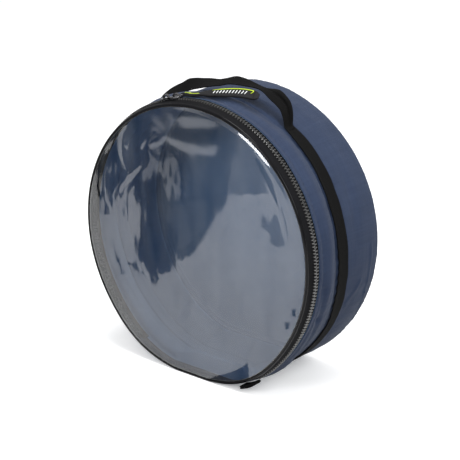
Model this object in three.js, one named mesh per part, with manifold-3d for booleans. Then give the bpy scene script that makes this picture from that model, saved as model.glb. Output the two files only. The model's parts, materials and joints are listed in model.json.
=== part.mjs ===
// A round storage bag that stands on its side: a navy woven drum with a clear front window,
// a zip round the rim, webbing that runs round the drum and rises into a carry handle, and a
// long moulded pull on the zip. Millimetres, +Z up, front towards -Y, origin on the floor.
import * as THREE from "three";
import { mergeVertices } from "three/addons/utils/BufferGeometryUtils.js";
import Module from "manifold-3d";

const wasm = await Module();
wasm.setup();

// Driving dimensions. Angles are degrees from the top of the drum, positive towards +X.
const DRUM_RADIUS = 190; // outside of the side wall before it sags
const CENTRE_HEIGHT = 185; // axis above the floor, less than the radius: the underside is flat
const GAP = 0.3; // between neighbouring pieces
const RING_SEGMENTS = 60;
const CLOTH = 1.6; // woven wall
const FILM = { y: -73, thickness: 1.0, radius: 182.6, hem: 19 }; // hem: flat border of the window
const STRAP = { floorMiddle: -3, width: 21, thickness: 1.6, ease: 0.8 };
const PIPING = { radius: 184.9, y: -73.5, bead: 2.0, sides: 8 };
const TAPE = { thickness: 1.0, front: -70.6, frontInner: 185.4, inner: 187.2 };
const CHAIN = { y: -61, width: 6.6, inner: 186.7, outer: 189.7 };
const GUSSET_FRONT = -54.1;
const ZIP_END = 147; // angle of both ends of the zip, either side of the bottom
const HINGE_FROM = 148; // angle where the cloth strip takes over from the zip
const SLIDER = {
  length: 16,
  noseWidth: 12.4,
  tailWidth: 9.6,
  corner: 1.5,
  bevel: 0.4,
  plate: 1.8,
  upper: 190.1, // radius of the underside of the upper plate
  lower: 184.2, // radius of the underside of the lower plate
  meeting: -12.5, // angle where the two noses meet
  spread: 2.6, // angle of each slider from the meeting place
};
const FLANGE = { length: 10, x: -1, thickness: 1.3, inset: 0.6, foot: 188.7 };
const POST = { length: 3.4, width: 3, x: -4.2 };
const BRIDGE = { reach: 5, height: 4.6, wall: 1.5, width: 3.4, sunk: 0.4, lean: 0.4 };
const LINK = { length: 11.4, width: 8, wire: 0.8, corner: 1.6, heading: [0.97, 0.16, 0.19] };
const NECK = { tunnel: 1.25, end: 2.25, straight: 3 }; // the pull's root round the wire
const END_TAB = { y: -66, width: 16, thickness: 2.6 };

// How far the wall stands proud of the plain drum along its depth.
const PUFF = [
  { y: -76, rise: -1.4 },
  { y: -54, rise: -0.6 },
  { y: -36, rise: 1.8 },
  { y: -18, rise: -0.6 },
  { y: -3, rise: -1.2 },
  { y: 12, rise: -0.2 },
  { y: 38, rise: 2.6 },
  { y: 60, rise: 2.6 },
  { y: 72, rise: 1.8 },
];

// Swellings and hollows of the wall. Spread is in degrees, reach in millimetres of depth.
const FOLDS = [
  { name: "front sag right", angle: 151, spread: 19, y: -70, reach: 70, rise: 5.4 },
  { name: "front sag left", angle: -151, spread: 19, y: -70, reach: 70, rise: 4.0 },
  { name: "back sag right", angle: 147, spread: 19, y: 70, reach: 60, rise: 2.8 },
  { name: "back sag left", angle: -147, spread: 19, y: 70, reach: 60, rise: 2.8 },
  { name: "rim droop", angle: -5, spread: 45, y: -84, reach: 7, rise: -11 },
  { name: "handle hollow", angle: 27, spread: 9, y: -32, reach: 15, rise: -2.4 },
  { name: "lower fold", angle: 112, spread: 9, y: -32, reach: 13, rise: -1.6 },
  { name: "top hollow", angle: -27, spread: 13, y: 55, reach: 45, rise: -5 },
  { name: "back hollow", angle: -62, spread: 16, y: 30, reach: 20, rise: -1.4 },
];

// Profiles, from the window's middle round the rim to the middle of the back.
const WINDOW_PROFILE = [0, 26, 52, 78, 102, 124, 144, 161, 173, FILM.radius].map((r) => ({
  r,
  y: FILM.y,
}));
const GUSSET_PROFILE = [
  { r: DRUM_RADIUS, y: GUSSET_FRONT },
  { r: DRUM_RADIUS, y: -36 },
  { r: DRUM_RADIUS, y: -22 },
  { r: DRUM_RADIUS, y: -16 },
  { r: DRUM_RADIUS, y: -14.2 },
  { r: DRUM_RADIUS, y: -3 },
  { r: DRUM_RADIUS, y: 8.2 },
  { r: DRUM_RADIUS, y: 10 },
  { r: DRUM_RADIUS, y: 24 },
  { r: DRUM_RADIUS, y: 38 },
  { r: DRUM_RADIUS, y: 60 },
  { r: DRUM_RADIUS, y: 69 },
  { r: 189.4, y: 72.4 },
  { r: 188.0, y: 74.0 },
];
const BACK_PROFILE = [
  { r: 187.0, y: 75.0 },
  { r: 184.0, y: 76.0 },
  { r: 178, y: 76.4 },
  { r: 150, y: 77.2 },
  { r: 100, y: 78.2 },
  { r: 50, y: 78.8 },
  { r: 0, y: 79 },
];

// Folds of the window: a ridge or trough between two places, seen from the front.
const WINDOW_FOLDS = [
  { name: "crescent", x1: -52, z1: 134, x2: 45, z2: 128, width: 15, rise: 3.0 },
  { name: "top tuck", x1: -62, z1: 164, x2: -42, z2: 148, width: 12, rise: 2.4 },
  { name: "second tuck", x1: -40, z1: 168, x2: -30, z2: 147, width: 11, rise: -2.2 },
  { name: "left ridge", x1: -105, z1: 138, x2: -112, z2: 84, width: 13, rise: 2.6 },
  { name: "left slant", x1: -115, z1: 52, x2: -69, z2: 94, width: 16, rise: -2.4 },
  { name: "long fall", x1: -46, z1: 118, x2: -18, z2: 40, width: 20, rise: -2.2 },
  { name: "upper right", x1: 60, z1: 120, x2: 130, z2: 60, width: 30, rise: -1.8 },
  { name: "lower swell", x1: -60, z1: -60, x2: 90, z2: -70, width: 70, rise: 2.2 },
];

// Depth of the webbing's middle line round the drum. It wanders a little.
const STRAP_PATH = [
  { angle: -180, y: STRAP.floorMiddle },
  { angle: -150, y: STRAP.floorMiddle },
  { angle: -90, y: -6 },
  { angle: -32, y: -5.5 },
  { angle: 50, y: -6 },
  { angle: 66, y: -7.5 },
  { angle: 86, y: -6.5 },
  { angle: 102, y: -3.5 },
  { angle: 118, y: 3.5 },
  { angle: 132, y: 3.5 },
  { angle: 150, y: STRAP.floorMiddle },
  { angle: 180, y: STRAP.floorMiddle },
];

// The handle above the drum: lift of the webbing's middle and roll that raises its back edge.
const HANDLE = [
  { angle: -45, lift: 0, roll: 0 },
  { angle: -40, lift: 4.5, roll: 10 },
  { angle: -34.5, lift: 7.5, roll: 24 },
  { angle: -29, lift: 7.8, roll: 34 },
  { angle: -22, lift: 8, roll: 44 },
  { angle: -18, lift: 9.6, roll: 53 },
  { angle: -11, lift: 8.2, roll: 30 },
  { angle: -4, lift: 9.6, roll: 16 },
  { angle: 0, lift: 11.8, roll: 20 },
  { angle: 4, lift: 16, roll: 20 },
  { angle: 8, lift: 17.8, roll: 13 },
  { angle: 14, lift: 19.8, roll: -6 },
  { angle: 17, lift: 21, roll: -12 },
  { angle: 20, lift: 22.5, roll: 0 },
  { angle: 22.5, lift: 22.8, roll: 30 },
  { angle: 25, lift: 22, roll: 44 },
  { angle: 28, lift: 19.5, roll: 40 },
  { angle: 30.5, lift: 12, roll: 22 },
  { angle: 33, lift: 0, roll: 0 },
];

// Middle line of the pull beyond its neck, from the drum's centre.
const TAB_SPINE = [
  { x: -13.5, y: -58.5, z: 192.8 },
  { x: -4, y: -55, z: 193.6 },
  { x: 24, y: -41.5, z: 197.2 },
  { x: 50, y: -31, z: 198.6 },
  { x: 71, y: -25, z: 196.2 },
];
// Its section, from the neck at 0 to the tip at 1. Roll lowers the front edge.
const TAB_SECTIONS = [
  { at: 0, width: 5, thickness: 4.4, roll: 0 },
  { at: 0.05, width: 5, thickness: 4.4, roll: 0 },
  { at: 0.12, width: 8, thickness: 3.8, roll: 4 },
  { at: 0.28, width: 8.5, thickness: 3.6, roll: 13 },
  { at: 0.37, width: 14, thickness: 3.4, roll: 19 },
  { at: 0.6, width: 15, thickness: 3.4, roll: 32 },
  { at: 0.9, width: 14.5, thickness: 3.4, roll: 42 },
  { at: 0.96, width: 12.5, thickness: 3.0, roll: 45 },
  { at: 1, width: 7, thickness: 2.4, roll: 45 },
];

// The webbing tongue at the end of the zip, as lift of its middle above the chain.
const END_TAB_ROWS = [
  { angle: 155.5, lift: 1.9 },
  { angle: 153.8, lift: 3.2 },
  { angle: 152, lift: 4.0 },
  { angle: 150.4, lift: 3.8 },
  { angle: 148.6, lift: 3.2 },
];

const { degToRad, radToDeg, euclideanModulo, lerp, inverseLerp, smoothstep } = THREE.MathUtils;
const bell = (t) => Math.exp(-t * t);
const angleBetween = (a, b) => euclideanModulo(a - b + 180, 360) - 180;
const angleOf = (point) => radToDeg(Math.atan2(point.x, point.z));
const onDrum = (angle, radius) => [
  radius * Math.sin(degToRad(angle)),
  radius * Math.cos(degToRad(angle)),
];

// A column's value at a place along a table sorted by its key column.
function lookUp(rows, key, place, column) {
  const next = rows.findIndex((row) => row[key] >= place);
  if (next === 0) return rows[0][column];
  if (next < 0) return rows.at(-1)[column];
  const [before, after] = [rows[next - 1], rows[next]];
  return lerp(before[column], after[column], inverseLerp(before[key], after[key], place));
}

// Nominal radius of the outermost piece at a depth, which is the one that meets the floor.
function outermost(y) {
  if (y < TAPE.front) return PIPING.radius + PIPING.bead;
  if (y < GUSSET_FRONT - GAP / 2) return CHAIN.outer;
  const underStrap = Math.abs(y - STRAP.floorMiddle) < STRAP.width / 2 + STRAP.ease;
  return underStrap ? DRUM_RADIUS + GAP + STRAP.thickness : DRUM_RADIUS;
}

// Real radius of the wall at an angle and depth, once it has puffed, sagged and met the floor.
function drapedRadius(angle, y) {
  let radius = DRUM_RADIUS + lookUp(PUFF, "y", y, "rise");
  for (const fold of FOLDS) {
    const around = angleBetween(angle, fold.angle) / fold.spread;
    radius += fold.rise * bell(around) * bell((y - fold.y) / fold.reach);
  }
  const down = -Math.cos(degToRad(angle));
  if (down <= 0) return radius;
  return Math.min(radius, ((CENTRE_HEIGHT / down) * DRUM_RADIUS) / outermost(y));
}

// Calls change(point) on every vertex and keeps what it leaves there.
function reshape(geometry, change) {
  const { position } = geometry.attributes;
  const point = new THREE.Vector3();
  for (let i = 0; i < position.count; i++) {
    point.fromBufferAttribute(position, i);
    change(point);
    position.setXYZ(i, point.x, point.y, point.z);
  }
  return geometry;
}

// Moves a piece that was made on the plain drum to the draped one.
function drape(geometry) {
  return reshape(geometry, (point) => {
    const ratio = drapedRadius(angleOf(point), point.y) / DRUM_RADIUS;
    point.x *= ratio;
    point.z *= ratio;
  });
}

function volume(positions, corners) {
  const [a, b, c] = [new THREE.Vector3(), new THREE.Vector3(), new THREE.Vector3()];
  let sum = 0;
  for (let i = 0; i < corners.length; i += 3) {
    a.fromBufferAttribute(positions, corners[i]);
    b.fromBufferAttribute(positions, corners[i + 1]);
    c.fromBufferAttribute(positions, corners[i + 2]);
    sum += a.dot(b.cross(c)) / 6;
  }
  return sum;
}

// Joins a geometry's shared vertices into one closed surface that faces out.
function weld(geometry) {
  geometry.deleteAttribute("normal");
  geometry.deleteAttribute("uv");
  const welded = mergeVertices(geometry, 1e-4);
  const all = welded.index.array;
  const corners = [];
  for (let i = 0; i < all.length; i += 3) {
    const [a, b, c] = all.slice(i, i + 3);
    if (a !== b && b !== c && c !== a) corners.push(a, b, c);
  }
  if (volume(welded.attributes.position, corners) < 0) corners.reverse();
  welded.setIndex(corners);
  return welded;
}

function toSolid(geometry) {
  const vertProperties = geometry.attributes.position.array;
  const triVerts = new Uint32Array(geometry.index.array);
  return new wasm.Manifold(new wasm.Mesh({ numProp: 3, vertProperties, triVerts }));
}

function toGeometry(solid) {
  const { vertProperties, triVerts } = solid.getMesh();
  const geometry = new THREE.BufferGeometry();
  geometry.setAttribute("position", new THREE.BufferAttribute(vertProperties, 3));
  geometry.setIndex(new THREE.BufferAttribute(triVerts, 1));
  return geometry;
}

const join = (pieces) => toGeometry(pieces.map(toSolid).reduce((sum, next) => sum.add(next)));

// A profile of rows with r and y turned about the drum's axis.
function ring(profile, segments = RING_SEGMENTS) {
  const points = profile.map(({ r, y }) => new THREE.Vector2(r, y));
  if (profile[0].r > 0 || profile.at(-1).r > 0) points.push(points[0].clone());
  return weld(new THREE.LatheGeometry(points, segments));
}

// Closes an outer profile into a wall of the given thickness, measured inwards.
function wall(outer, thickness) {
  const inner = outer.map((row, i) => {
    const before = outer[Math.max(i - 1, 0)];
    const after = outer[Math.min(i + 1, outer.length - 1)];
    const along = new THREE.Vector2(after.r - before.r, after.y - before.y).normalize();
    if (row.r === 0) return { r: 0, y: row.y + Math.sign(along.x) * thickness };
    return { r: row.r - along.y * thickness, y: row.y + along.x * thickness };
  });
  return [...outer, ...inner.reverse()];
}

const band = (inner, outer, from, to) => [
  { r: inner, y: from },
  { r: outer, y: from },
  { r: outer, y: to },
  { r: inner, y: to },
];

// A flat outline in x and z, given a depth about a middle y.
function slab(outline, depth, middle) {
  const extruded = new THREE.ExtrudeGeometry(outline, { depth, bevelEnabled: false });
  return weld(extruded.rotateX(Math.PI / 2).translate(0, middle + depth / 2, 0));
}

// The part of a ring between two angles.
function arcOf(geometry, from, to) {
  const far = 2 * DRUM_RADIUS;
  const steps = Math.ceil((to - from) / 20);
  const outline = [new THREE.Vector2(0, 0)];
  for (let i = 0; i <= steps; i++) {
    outline.push(new THREE.Vector2(...onDrum(lerp(from, to, i / steps), far)));
  }
  const sector = slab(new THREE.Shape(outline), far, 0);
  return toGeometry(toSolid(geometry).intersect(toSolid(sector)));
}

function windowFilm() {
  return reshape(ring(wall(WINDOW_PROFILE, FILM.thickness)), (point) => {
    const flat = new THREE.Vector3(point.x, 0, point.z);
    const free = 1 - smoothstep(flat.length(), FILM.radius - FILM.hem, FILM.radius);
    for (const { x1, z1, x2, z2, width, rise } of WINDOW_FOLDS) {
      const crease = new THREE.Line3(new THREE.Vector3(x1, 0, z1), new THREE.Vector3(x2, 0, z2));
      const nearest = crease.closestPointToPoint(flat, true, new THREE.Vector3());
      point.y -= rise * free * bell(nearest.distanceTo(flat) / width);
    }
  });
}

function piping() {
  const bead = [];
  for (let i = 0; i < PIPING.sides; i++) {
    const turn = (2 * Math.PI * (i + 0.5)) / PIPING.sides;
    bead.push({
      r: PIPING.radius + PIPING.bead * Math.cos(turn),
      y: PIPING.y + PIPING.bead * Math.sin(turn),
    });
  }
  return ring(bead);
}

function frontTape() {
  const to = CHAIN.y - CHAIN.width / 2 - GAP;
  return ring([
    { r: TAPE.frontInner, y: TAPE.front },
    { r: TAPE.frontInner + TAPE.thickness, y: TAPE.front },
    { r: TAPE.inner + TAPE.thickness, y: to },
    { r: TAPE.inner, y: to },
  ]);
}

function rearTape() {
  const from = CHAIN.y + CHAIN.width / 2 + GAP;
  return ring(band(TAPE.inner, TAPE.inner + TAPE.thickness, from, GUSSET_FRONT - GAP));
}

function chain() {
  const half = CHAIN.width / 2;
  return ring(band(CHAIN.inner, CHAIN.outer, CHAIN.y - half, CHAIN.y + half));
}

function hingeStrip() {
  return ring([
    { r: TAPE.frontInner, y: TAPE.front },
    { r: TAPE.frontInner + CLOTH, y: TAPE.front },
    { r: TAPE.inner + CLOTH, y: CHAIN.y },
    { r: TAPE.inner + CLOTH, y: GUSSET_FRONT - GAP },
    { r: TAPE.inner, y: GUSSET_FRONT - GAP },
    { r: TAPE.inner, y: CHAIN.y },
  ]);
}

// The webbing follows its path round the drum and leaves it at the top to form the handle.
function strap() {
  const inner = DRUM_RADIUS + GAP;
  const half = STRAP.width / 2;
  const webbing = ring(band(inner, inner + STRAP.thickness, -half, half), 2 * RING_SEGMENTS);
  const core = inner + STRAP.thickness / 2;
  reshape(webbing, (point) => {
    point.y += lookUp(STRAP_PATH, "angle", angleOf(point), "y");
  });
  return reshape(drape(webbing), (point) => {
    const angle = angleOf(point);
    const lift = lookUp(HANDLE, "angle", angle, "lift");
    if (lift === 0) return;
    const roll = degToRad(lookUp(HANDLE, "angle", angle, "roll"));
    const middle = lookUp(STRAP_PATH, "angle", angle, "y");
    const ground = (core * drapedRadius(angle, middle)) / DRUM_RADIUS;
    const up = Math.hypot(point.x, point.z) - ground;
    const across = point.y - middle;
    const radius = ground + lift + across * Math.sin(roll) + up * Math.cos(roll);
    const [x, z] = onDrum(angle, radius);
    point.set(x, middle + across * Math.cos(roll) - up * Math.sin(roll), z);
  });
}

// One of the slider's two plates, with its underside at a radius.
function sliderPlate(foot) {
  const { bevel, corner } = SLIDER;
  const half = SLIDER.length / 2;
  const [nose, tail] = [SLIDER.noseWidth / 2, SLIDER.tailWidth / 2];
  const side = [
    [-half, nose - 2 * corner],
    [-half + corner, nose],
    [0, nose],
    [half - corner, tail],
    [half, tail - corner],
  ];
  const mirrored = side.map(([x, y]) => [x, -y]).reverse();
  const outline = [...side, ...mirrored].map(([x, y]) => new THREE.Vector2(x, y));
  const plate = new THREE.ExtrudeGeometry(new THREE.Shape(outline), {
    depth: SLIDER.plate - 2 * bevel,
    bevelThickness: bevel,
    bevelSize: bevel,
    bevelOffset: -bevel,
    bevelSegments: 1,
  });
  return weld(plate.translate(0, CHAIN.y, foot + bevel));
}

// The arch on top of a slider that holds the pull's wire.
function sliderBridge() {
  const { reach, height, wall: rim, lean } = BRIDGE;
  const arch = new THREE.Shape();
  arch.moveTo(-reach, 0);
  arch.quadraticCurveTo(lean - reach, height, 0, height);
  arch.quadraticCurveTo(reach - lean, height, reach, 0);
  arch.lineTo(reach - rim, 0);
  arch.quadraticCurveTo(reach - rim - lean, height - rim, 0, height - rim);
  arch.quadraticCurveTo(rim + lean - reach, height - rim, rim - reach, 0);
  const foot = SLIDER.upper + SLIDER.plate - BRIDGE.sunk;
  return slab(new THREE.Shape(arch.getPoints(6)), BRIDGE.width, CHAIN.y).translate(0, 0, foot);
}

// A slider with its nose towards -X, made at the top of the drum over the chain.
function slider() {
  const inPlate = SLIDER.plate / 2;
  const bar = (length, width, from, to, x, y) =>
    weld(new THREE.BoxGeometry(length, width, to - from).translate(x, y, (from + to) / 2));
  const flange = (side) => {
    const y = CHAIN.y + side * (SLIDER.tailWidth / 2 - FLANGE.inset);
    return bar(FLANGE.length, FLANGE.thickness, FLANGE.foot, SLIDER.upper + inPlate, FLANGE.x, y);
  };
  const { lower, upper } = SLIDER;
  const post = bar(POST.length, POST.width, lower + inPlate, upper + inPlate, POST.x, CHAIN.y);
  const plates = [sliderPlate(upper), sliderPlate(lower)];
  return join([...plates, flange(1), flange(-1), post, sliderBridge()]);
}

// Where the pull's wire passes through the right slider's bridge.
function pullHinge() {
  const angle = SLIDER.meeting + SLIDER.spread;
  const hole = (BRIDGE.height - BRIDGE.wall - BRIDGE.sunk) / 2;
  const drop = DRUM_RADIUS - drapedRadius(angle, CHAIN.y);
  const [x, z] = onDrum(angle, SLIDER.upper + SLIDER.plate + hole - drop);
  return new THREE.Vector3(x, CHAIN.y, z);
}

// The direction across a piece that runs ahead, level and towards the back.
const acrossOf = (ahead) => new THREE.Vector3(0, 0, 1).cross(ahead).normalize();

const heading = new THREE.Vector3(...LINK.heading).normalize();

// A frame at a place along the wire's heading: x ahead, y across, z up.
function wireFrame(distance) {
  const across = acrossOf(heading);
  const frame = new THREE.Matrix4().makeBasis(heading, across, heading.clone().cross(across));
  return frame.setPosition(pullHinge().addScaledVector(heading, distance));
}

// A rounded rectangle of wire, hooked through the bridge at one end and the pull at the other.
function pullLink() {
  const wire = new THREE.TorusGeometry(LINK.corner, LINK.wire, 6, 16).rotateZ(Math.PI / 16);
  reshape(wire, (point) => {
    point.x += Math.sign(point.x) * (LINK.length / 2 - LINK.corner);
    point.y += Math.sign(point.y) * (LINK.width / 2 - LINK.corner);
  });
  return weld(wire.applyMatrix4(wireFrame(LINK.length / 2)));
}

// The moulded pull: a strip that swells from its neck, twists and ends in a rounded tip.
function pullTab() {
  const ends = [LINK.length - NECK.end, LINK.length + NECK.straight];
  const neck = ends.map((along) => pullHinge().addScaledVector(heading, along));
  const rows = TAB_SPINE.map(({ x, y, z }) => new THREE.Vector3(x, y, z));
  const spine = new THREE.CatmullRomCurve3([...neck, ...rows]);
  const strip = reshape(weld(new THREE.BoxGeometry(1, 1, 1, 28, 4, 1)), (point) => {
    const at = point.x + 0.5;
    const ahead = spine.getTangentAt(at);
    const roll = degToRad(lookUp(TAB_SECTIONS, "at", at, "roll"));
    const across = acrossOf(ahead).applyAxisAngle(ahead, roll);
    const up = ahead.clone().cross(across);
    const side = point.y * lookUp(TAB_SECTIONS, "at", at, "width");
    const height = point.z * lookUp(TAB_SECTIONS, "at", at, "thickness");
    point.copy(spine.getPointAt(at)).addScaledVector(across, side).addScaledVector(up, height);
  });
  const tunnel = new THREE.CylinderGeometry(NECK.tunnel, NECK.tunnel, LINK.width, 10);
  tunnel.applyMatrix4(wireFrame(LINK.length));
  return toGeometry(toSolid(strip).subtract(toSolid(weld(tunnel))));
}

function endTab() {
  const face = (side) =>
    END_TAB_ROWS.map(({ angle, lift }) => {
      const ground = (CHAIN.outer * drapedRadius(angle, END_TAB.y)) / DRUM_RADIUS;
      const radius = ground + lift + (side * END_TAB.thickness) / 2;
      return new THREE.Vector2(...onDrum(angle, radius));
    });
  const outline = new THREE.Shape([...face(1), ...face(-1).reverse()]);
  return slab(outline, END_TAB.width, END_TAB.y);
}

const finish = (color, roughness, metalness = 0) =>
  new THREE.MeshStandardMaterial({ color, roughness, metalness });
const navyCloth = () => finish(0x35435f, 0.85);
const webbing = () => finish(0x1b1b1c, 0.8);
const blackTape = () => finish(0x151517, 0.8);
const teeth = () => finish(0x1d1c1c, 0.45);
const nickel = () => finish(0x6f7075, 0.15, 1);

function clearFilm() {
  const film = finish(0xc4cad2, 0.08);
  film.transparent = true;
  film.opacity = 0.3;
  return film;
}

function piece(name, geometry, material) {
  geometry.computeVertexNormals();
  const mesh = new THREE.Mesh(geometry, material);
  mesh.name = name;
  return mesh;
}

// A slider carried round the drum to its place on the zip.
function placedSlider(name, side) {
  const angle = SLIDER.meeting + side * SLIDER.spread;
  const turned = slider();
  if (side < 0) turned.translate(0, -CHAIN.y, 0).rotateZ(Math.PI).translate(0, CHAIN.y, 0);
  const mesh = piece(name, turned, nickel());
  mesh.position.z = drapedRadius(angle, CHAIN.y) - DRUM_RADIUS;
  const carrier = new THREE.Group();
  carrier.rotation.y = degToRad(angle);
  carrier.add(mesh);
  return carrier;
}

const rightEnd = SLIDER.meeting + SLIDER.spread;
const leftEnd = SLIDER.meeting - SLIDER.spread;

const drum = new THREE.Group();
drum.position.z = CENTRE_HEIGHT;
drum.add(
  piece("gusset", drape(ring(wall(GUSSET_PROFILE, CLOTH))), navyCloth()),
  piece("back_panel", drape(ring(wall(BACK_PROFILE, CLOTH))), navyCloth()),
  piece("front_window", drape(windowFilm()), clearFilm()),
  piece("front_piping", drape(piping()), finish(0x0c0c0d, 0.2)),
  piece("zip_tape_front", drape(arcOf(frontTape(), -ZIP_END, ZIP_END)), blackTape()),
  piece("zip_tape_rear", drape(arcOf(rearTape(), -ZIP_END, ZIP_END)), blackTape()),
  piece("zip_chain_left", drape(arcOf(chain(), -ZIP_END, leftEnd)), teeth()),
  piece("zip_chain_right", drape(arcOf(chain(), rightEnd, ZIP_END)), teeth()),
  piece("hinge_strip", drape(arcOf(hingeStrip(), HINGE_FROM, 360 - HINGE_FROM)), navyCloth()),
  piece("strap", strap(), webbing()),
  placedSlider("zip_slider_left", -1),
  placedSlider("zip_slider_right", 1),
  piece("zip_pull_link", pullLink(), nickel()),
  piece("zip_pull_tab", pullTab(), finish(0x111213, 0.5)),
  piece("zip_end_tab", endTab(), webbing()),
);

const bag = new THREE.Group();
bag.add(drum);

export default bag;
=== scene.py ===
# A round storage bag: a navy woven drum with a clear creased window, a zip round its rim, a webbing
# girth strap that rises into a carry handle, and a long moulded pull. Sizes are in millimetres and
# angles in degrees from the top of the drum, positive towards +X, as in the part's construction.
import json
import math
from collections import namedtuple

import bmesh
import bpy
import numpy as np
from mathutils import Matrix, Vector


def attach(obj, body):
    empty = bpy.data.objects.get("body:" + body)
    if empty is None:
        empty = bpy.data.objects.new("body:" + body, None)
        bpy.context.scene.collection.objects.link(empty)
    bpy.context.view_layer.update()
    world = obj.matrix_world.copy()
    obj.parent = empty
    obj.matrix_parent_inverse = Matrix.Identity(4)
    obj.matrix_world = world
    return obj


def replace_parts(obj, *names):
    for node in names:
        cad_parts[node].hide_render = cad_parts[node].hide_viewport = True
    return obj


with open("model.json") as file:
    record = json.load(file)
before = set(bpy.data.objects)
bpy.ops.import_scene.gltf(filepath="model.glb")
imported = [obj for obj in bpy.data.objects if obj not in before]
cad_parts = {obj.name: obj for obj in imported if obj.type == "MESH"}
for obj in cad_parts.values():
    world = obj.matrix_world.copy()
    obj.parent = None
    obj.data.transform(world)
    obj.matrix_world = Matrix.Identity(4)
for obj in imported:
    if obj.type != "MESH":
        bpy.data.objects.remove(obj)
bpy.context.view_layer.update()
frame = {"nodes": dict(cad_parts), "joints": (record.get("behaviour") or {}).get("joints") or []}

MM = 0.001
WELD = 1e-6  # metres, joins a surface's two ends
DRUM_RADIUS = 190.0
CENTRE_HEIGHT = 185.0
ARC = math.radians(1) * DRUM_RADIUS  # millimetres round the drum for each degree
GAP = 0.3
CLOTH = 1.6
GUSSET_FRONT = -54.1
GUSSET_BACK = 69.0
LINING_TURN = 71.0  # depth where the side's lining, painted lighter, ends
STITCH_Y, BACK_SEAM_Y = -47.5, 67.5  # the seams that hold the side to the zip and to the back
BACK_SEAM_RADIUS = 180.5
SEAM_PUCKER, BACK_PUCKER, PUCKER_WIDTH = 0.35, 0.15, 4.0
STITCH_LENGTH, STITCH_PITCH, STITCH_THICK = 2.7, 3.3, 0.55
FILM_Y, FILM_RADIUS, FILM_HEM = -73.0, 182.6, 9.0
# Where the film starts to turn down to the piping, how far, and the angle and spread of that place.
LIP_FROM, LIP_FALL, LIP_ANGLE, LIP_SPREAD = 177.2, 1.95, 33.0, 23.0
PIPING_RADIUS, PIPING_Y, PIPING_BEAD = 184.9, -73.5, 2.0
EDGE_BEAD = 0.55  # the welded edge of the film, its pale colour partly a painted highlight
TAPE_FRONT, TAPE_FRONT_INNER, TAPE_INNER, TAPE_THICK = -70.6, 185.4, 187.2, 1.0
CHAIN_Y, CHAIN_BASE, CHAIN_TOP = -61.0, 186.6, 190.0
TOOTH_PITCH, TOOTH_LENGTH, TOOTH_WIDTH, TOOTH_OVERLAP = 4.2, 5.1, 1.85, 1.0
ZIP_END, HINGE_FROM, TAPE_TUCK = 147.0, 148.0, 1.8
SLIDER_MEETING, SLIDER_SPREAD = -12.5, 2.6
STRAP_WIDTH, STRAP_THICK, STRAP_FLOOR_Y = 21.0, 1.6, -3.0
TACK_ANGLES, TACK_COUNT, TACK_REACH = (-46.5, 34.0), 15, 6.5  # thread at the handle's two feet
TACK_LENGTH, TACK_THICK, TACK_TURN = 6.4, 0.75, 0.9
LINK_LENGTH, LINK_WIDTH, LINK_WIRE, LINK_CORNER = 11.4, 8.0, 0.8, 1.6
LINK_HEADING = Vector((0.97, 0.16, 0.19)).normalized()
NECK_END, NECK_STRAIGHT = 2.25, 3.0
# On the pull's face: the tray and the row of ribs, in shares of its length.
TRAY_FROM, TRAY_TO, TRAY_DEPTH = 0.38, 0.95, 0.45
RIB_FROM, RIB_TO, RIB_COUNT, TRIM_THICK, TRIM_SINK = 0.42, 0.82, 11, 1.1, 0.15
END_TAB_Y, END_TAB_WIDTH, END_TAB_LAYER = -66.0, 16.0, 2.0

# How far the wall stands proud of the plain drum along its depth.
PUFF = {
    "y": (-76, -54, -36, -18, -3, 12, 38, 60, 72),
    "rise": (-1.4, -0.6, 1.8, -0.6, -1.2, -0.2, 2.6, 2.6, 1.8),
}
# Swellings and hollows of the wall. Spread is in degrees, reach in millimetres of depth.
Fold = namedtuple("Fold", "name angle spread y reach rise")
FOLDS = [
    Fold("front sag right", angle=151, spread=19, y=-70, reach=70, rise=5.4),
    Fold("front sag left", angle=-151, spread=19, y=-70, reach=70, rise=4.0),
    Fold("back sag right", angle=147, spread=19, y=70, reach=60, rise=2.8),
    Fold("back sag left", angle=-147, spread=19, y=70, reach=60, rise=2.8),
    Fold("rim droop", angle=-5, spread=45, y=-84, reach=7, rise=-11.0),
    Fold("handle hollow", angle=27, spread=9, y=-32, reach=15, rise=-2.4),
    Fold("lower fold", angle=112, spread=9, y=-32, reach=13, rise=-1.6),
    Fold("top hollow", angle=-27, spread=13, y=55, reach=45, rise=-5.0),
    Fold("back hollow", angle=-62, spread=16, y=30, reach=20, rise=-1.4),
]
# Grooves and ridges that run right round the wall, at its seams and between them.
Band = namedtuple("Band", "y width rise")
SEAM_BANDS = [
    Band(y=STITCH_Y, width=1.2, rise=-0.7),
    Band(y=STITCH_Y - 3.2, width=2.0, rise=0.5),
    Band(y=BACK_SEAM_Y, width=1.0, rise=-0.4),
]
WALL_BANDS = [
    Band(y=-48, width=5.0, rise=-1.0),
    Band(y=-33, width=8.0, rise=1.5),
    Band(y=-19, width=4.0, rise=-0.9),
]
# Soft unevenness: the height and pitch of its bumps, and the seed that they are drawn from.
Bumps = namedtuple("Bumps", "height pitch seed")
WALL_BUMPS = [Bumps(0.38, 62, 3), Bumps(0.17, 21, 4)]
WALL_WRINKLES = [Bumps(0.13, 9, 5)]
BACK_BUMPS = [Bumps(0.7, 70, 7), Bumps(0.2, 26, 8)]
FILM_BUMPS = [Bumps(0.06, 60, 11), Bumps(0.012, 22, 12)]
FILM_STREAKS = [Bumps(0.02, 14, 13)]
FILM_MOTTLES = [Bumps(0.07, 24, 14)]
# The side's turn to the back, as depth and fall of radius, and the back's depth along its radius.
GUSSET_CORNER = {
    "y": (70.6, 72.2, 73.3, 74.0, 74.3),
    "fall": (0.2, 0.7, 1.3, 2.0, 5.0),
}
BACK_PROFILE = {
    "r": (0, 50, 100, 150, 178, 184, 187),
    "y": (79, 78.8, 78.2, 77.2, 76.4, 76.0, 75.0),
}
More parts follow.
